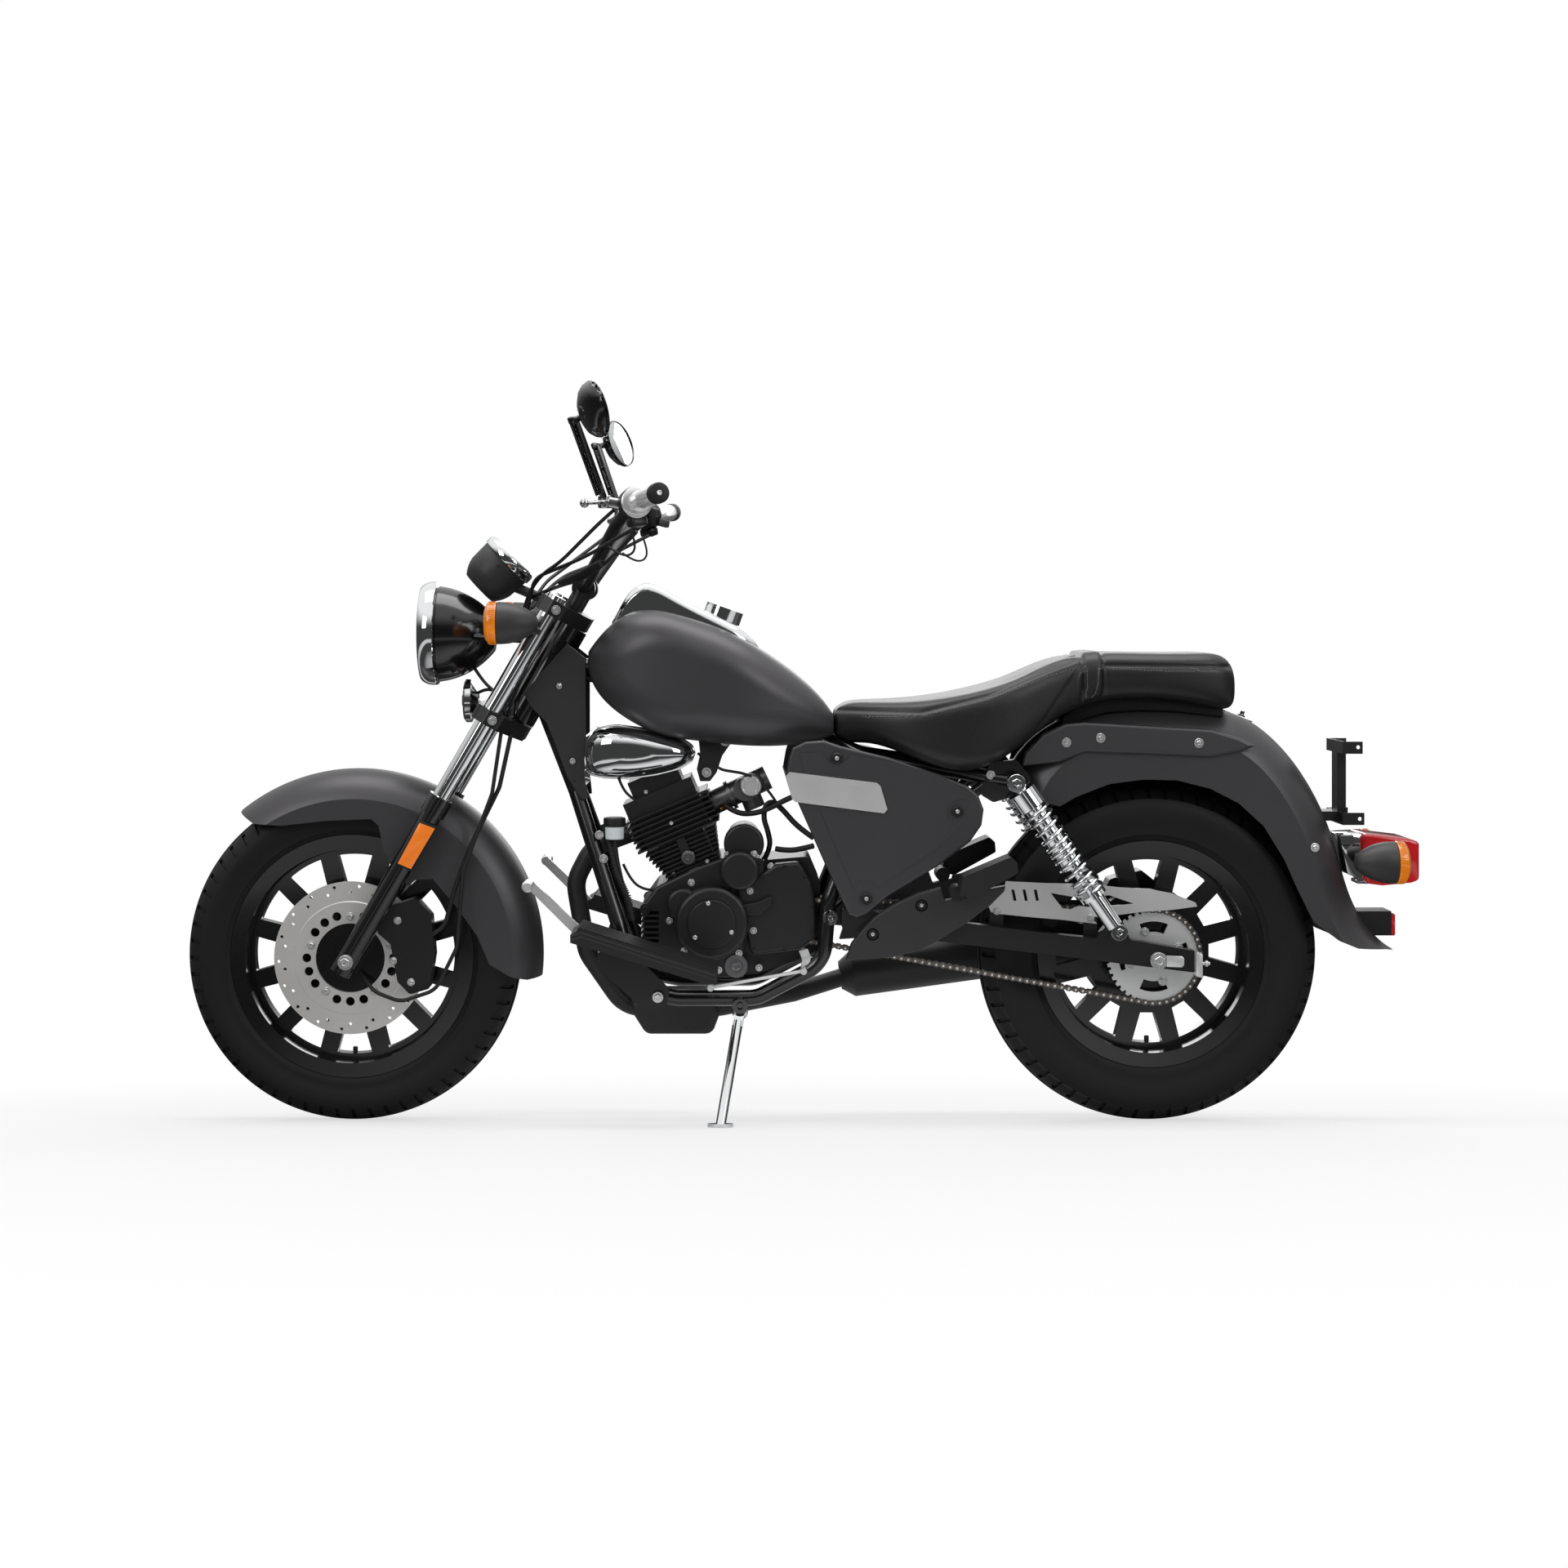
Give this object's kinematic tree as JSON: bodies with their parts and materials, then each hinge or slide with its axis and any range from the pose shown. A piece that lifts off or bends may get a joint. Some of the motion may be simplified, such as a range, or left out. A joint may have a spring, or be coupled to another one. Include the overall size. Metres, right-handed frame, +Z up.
{
  "type": "cruiser motorcycle",
  "caption": "Small chain-driven cruiser motorcycle with low seat, teardrop tank, footboards and cast wheels, leaning on its side stand.",
  "frame": {"origin": "on the floor, under the middle of the parked machine's bounding box", "axes": "+Z up, -X forwards (the way the machine rides), -Y towards the rider's left, the side that it leans to"},
  "size_m": [2.2259, 0.9888, 1.3587],
  "materials": {
    "cast_alloy": "as cast",
    "chain_steel": "oiled",
    "chrome": "polished",
    "cover_plastic": "matte",
    "disc_steel": "brushed",
    "engine_black": "satin black paint",
    "exhaust_black": "matte heat paint",
    "gloss_black": "gloss",
    "matte_paint": "matte",
    "polished_aluminium": "polished",
    "red_lens": "gloss",
    "rubber": "matte",
    "satin_black": "satin",
    "seat_leather": "grained",
    "tyre": "matte",
    "zinc_steel": "zinc plated"
  },
  "bodies": {
    "chassis": {"drive_chain": "chain_steel", "engine_case": "engine_black", "cylinder": "engine_black", "engine_covers": "engine_black", "frame": "gloss_black", "swingarm": "satin_black", "fuel_tank": "matte_paint", "tank_console": "chrome", "rear_fender": "matte_paint", "neck_covers": "cover_plastic", "side_covers": "matte_paint", "cover_plates": "polished_aluminium", "heel_guards": "cover_plastic", "fender_rails": "matte_paint", "seat": "seat_leather", "plate_bracket": "satin_black", "tail_lamp": "red_lens", "rear_indicators": "cover_plastic", "shock_bodies": "chrome", "shock_springs": "chrome", "chain_guard": "polished_aluminium", "footboards": "rubber", "footboard_brackets": "satin_black", "foot_controls": "polished_aluminium", "passenger_pegs": "rubber", "air_cleaner": "chrome", "carburettor": "cast_alloy", "exhaust": "exhaust_black", "rear_caliper": "satin_black", "rear_axle": "zinc_steel"},
    "front_wheel": {"front_tyre": "tyre", "front_rim": "gloss_black", "front_disc": "disc_steel"},
    "rear_wheel": {"rear_tyre": "tyre", "rear_rim": "gloss_black", "rear_disc": "disc_steel", "rear_sprocket": "zinc_steel"},
    "side_stand": {"side_stand": "chrome"},
    "fork": {"fork_tubes": "chrome", "fork_sliders": "gloss_black", "fork_clamps": "satin_black", "front_axle": "zinc_steel", "front_fender": "matte_paint", "headlamp": "gloss_black", "speedometer": "cover_plastic", "front_indicators": "cover_plastic", "horn": "chrome", "handlebar": "satin_black", "grips": "rubber", "hand_controls": "satin_black", "mirrors": "cover_plastic", "front_caliper": "satin_black", "fork_hoses": "rubber"}
  },
  "joints": [
    {"name": "steering", "type": "hinge", "parent": "chassis", "child": "fork", "pos_m": [-0.46453, 0.06972, 0.80285], "axis": [0.5, -0.1355, 0.8554], "range_deg": [-38, 38]},
    {"name": "front_wheel_spin", "type": "hinge", "parent": "fork", "child": "front_wheel", "pos_m": [-0.811, 0.14952, 0.29902], "axis": [0, -0.9877, -0.1564], "continuous": true},
    {"name": "rear_wheel_spin", "type": "hinge", "parent": "chassis", "child": "rear_wheel", "pos_m": [0.629, 0.14874, 0.30396], "axis": [0, -0.9877, -0.1564], "continuous": true},
    {"name": "side_stand_fold", "type": "hinge", "parent": "chassis", "child": "side_stand", "pos_m": [-0.111, 0.02376, 0.19811], "axis": [0, -0.8989, 0.4382], "range_deg": [0, 98.8]}
  ]
}
